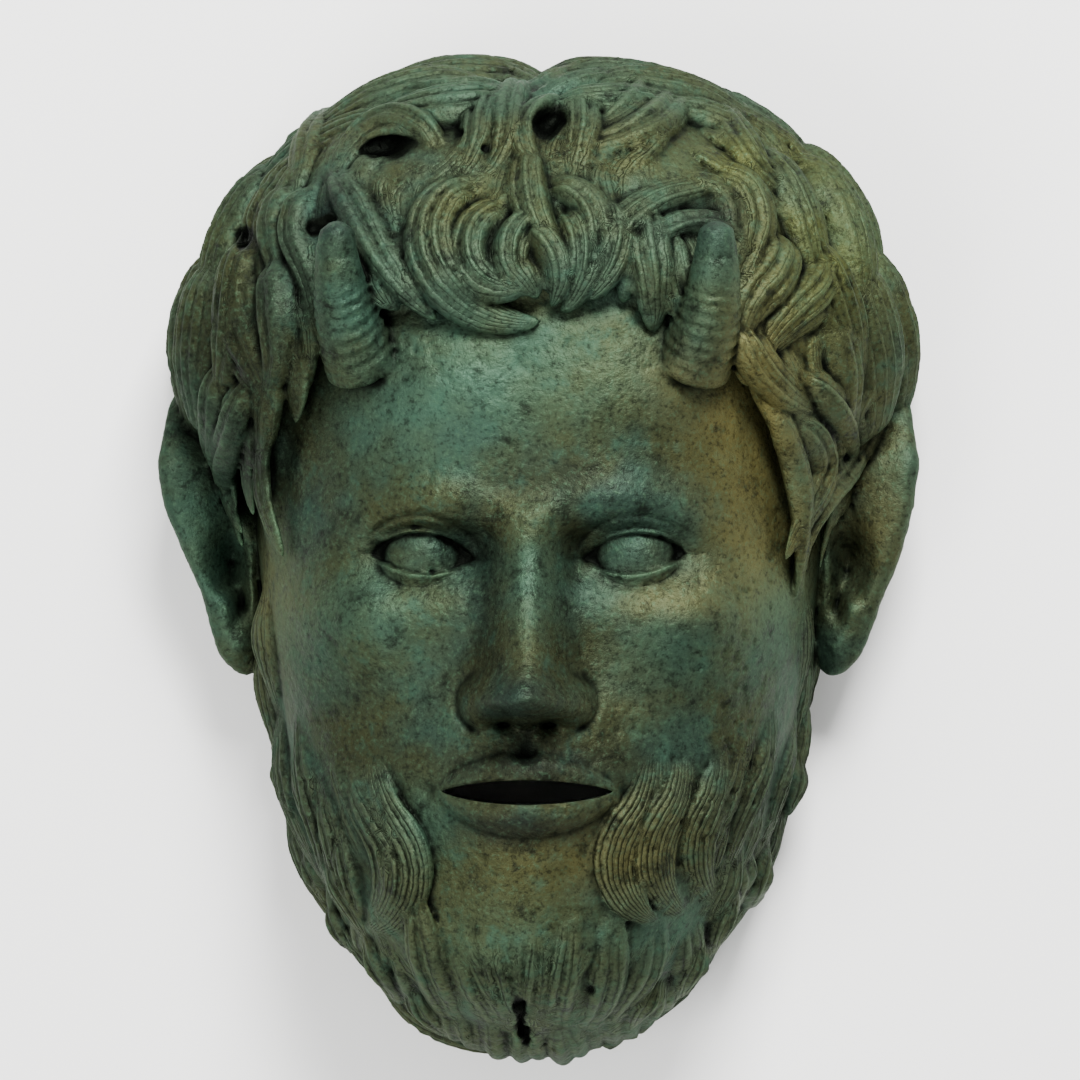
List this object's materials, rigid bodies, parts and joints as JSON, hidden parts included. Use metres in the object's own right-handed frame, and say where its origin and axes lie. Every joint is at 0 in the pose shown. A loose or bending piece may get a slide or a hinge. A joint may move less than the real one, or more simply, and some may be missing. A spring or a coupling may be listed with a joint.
{
  "type": "horned pan mask",
  "caption": "Hollow cast bronze mask of a bearded, horned pan with curly hair and animal-like ears, open at the back and through the mouth.",
  "frame": {"origin": "on the plane of the flat back rim, under the middle of the mask", "axes": "+X to the viewer's right, +Y from the chin to the crown, +Z out of the face; the mask lies face up"},
  "size_m": [0.2256, 0.301, 0.1363],
  "materials": {
    "bronze": "cast bronze with a dark green, semi-matte patina"
  },
  "bodies": {
    "root": {"pan_mask": "bronze"}
  },
  "joints": []
}
